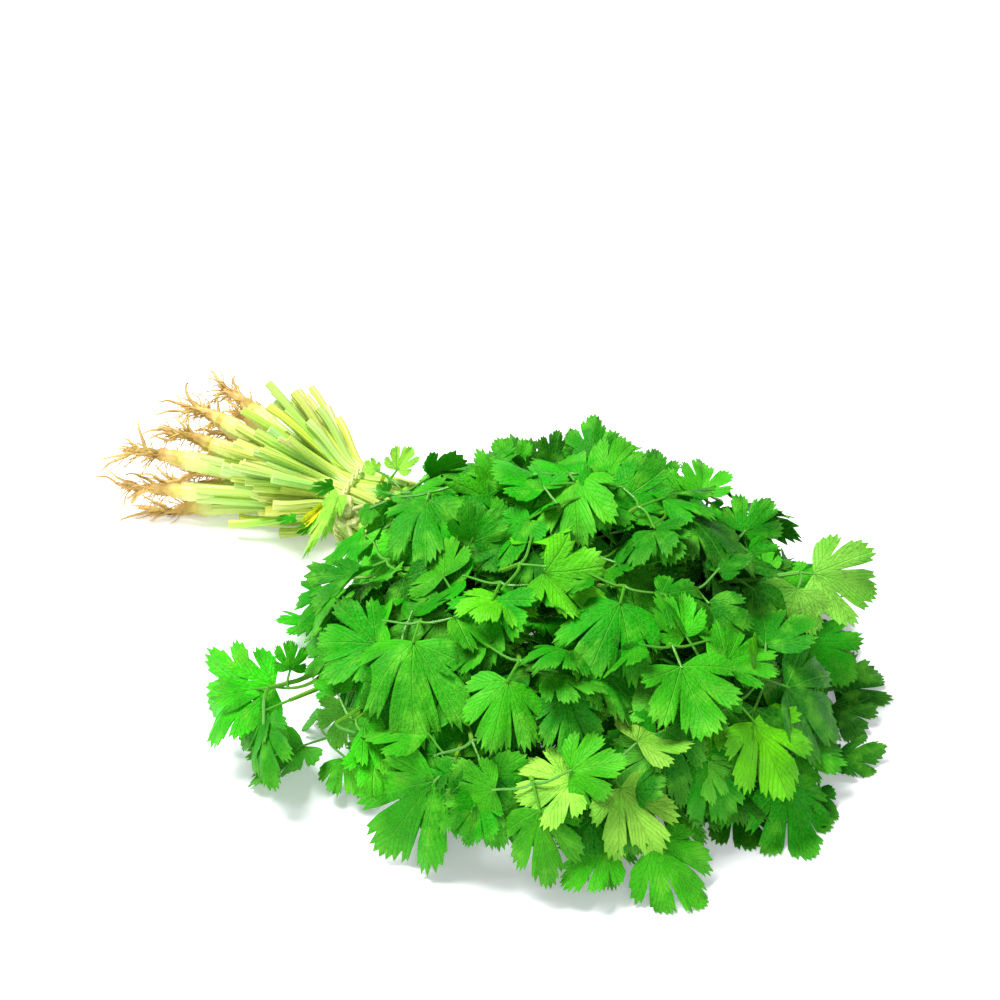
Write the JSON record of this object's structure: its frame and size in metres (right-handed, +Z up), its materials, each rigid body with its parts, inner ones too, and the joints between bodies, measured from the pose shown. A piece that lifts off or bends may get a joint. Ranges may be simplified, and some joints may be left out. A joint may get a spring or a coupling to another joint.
{
  "type": "coriander bunch",
  "caption": "Bunch of fresh coriander lying on its side: leafy shoots fanned into a low mound, pale stalks tied at the neck, fine branching roots.",
  "frame": {"origin": "middle of the bunch's footprint, on the table it lies on", "axes": "+X along the bunch from its roots to its leaves, +Y across it, +Z up"},
  "size_m": [0.357, 0.2468, 0.0888],
  "materials": {
    "leaf": "fresh green leaf, soft gloss",
    "stalk": "pale green stalk, soft gloss",
    "root": "tan root, matt",
    "tie": "twisted straw-coloured strand, matt"
  },
  "bodies": {
    "root": {"plant_01_root": "root", "plant_01_shoot": "leaf", "plant_02_root": "root", "plant_02_shoot": "leaf", "plant_03_root": "root", "plant_03_shoot": "leaf", "plant_04_root": "root", "plant_04_shoot": "leaf", "plant_05_root": "root", "plant_05_shoot": "leaf", "plant_06_root": "root", "plant_06_shoot": "leaf", "plant_07_root": "root", "plant_07_shoot": "leaf", "plant_08_root": "root", "plant_08_shoot": "leaf", "plant_09_root": "root", "plant_09_shoot": "leaf", "plant_10_root": "root", "plant_10_shoot": "leaf", "plant_11_root": "root", "plant_11_shoot": "leaf", "plant_12_root": "root", "plant_12_shoot": "leaf", "cut_stalk_01": "stalk", "cut_stalk_02": "stalk", "cut_stalk_03": "stalk", "tie": "tie"}
  },
  "joints": []
}
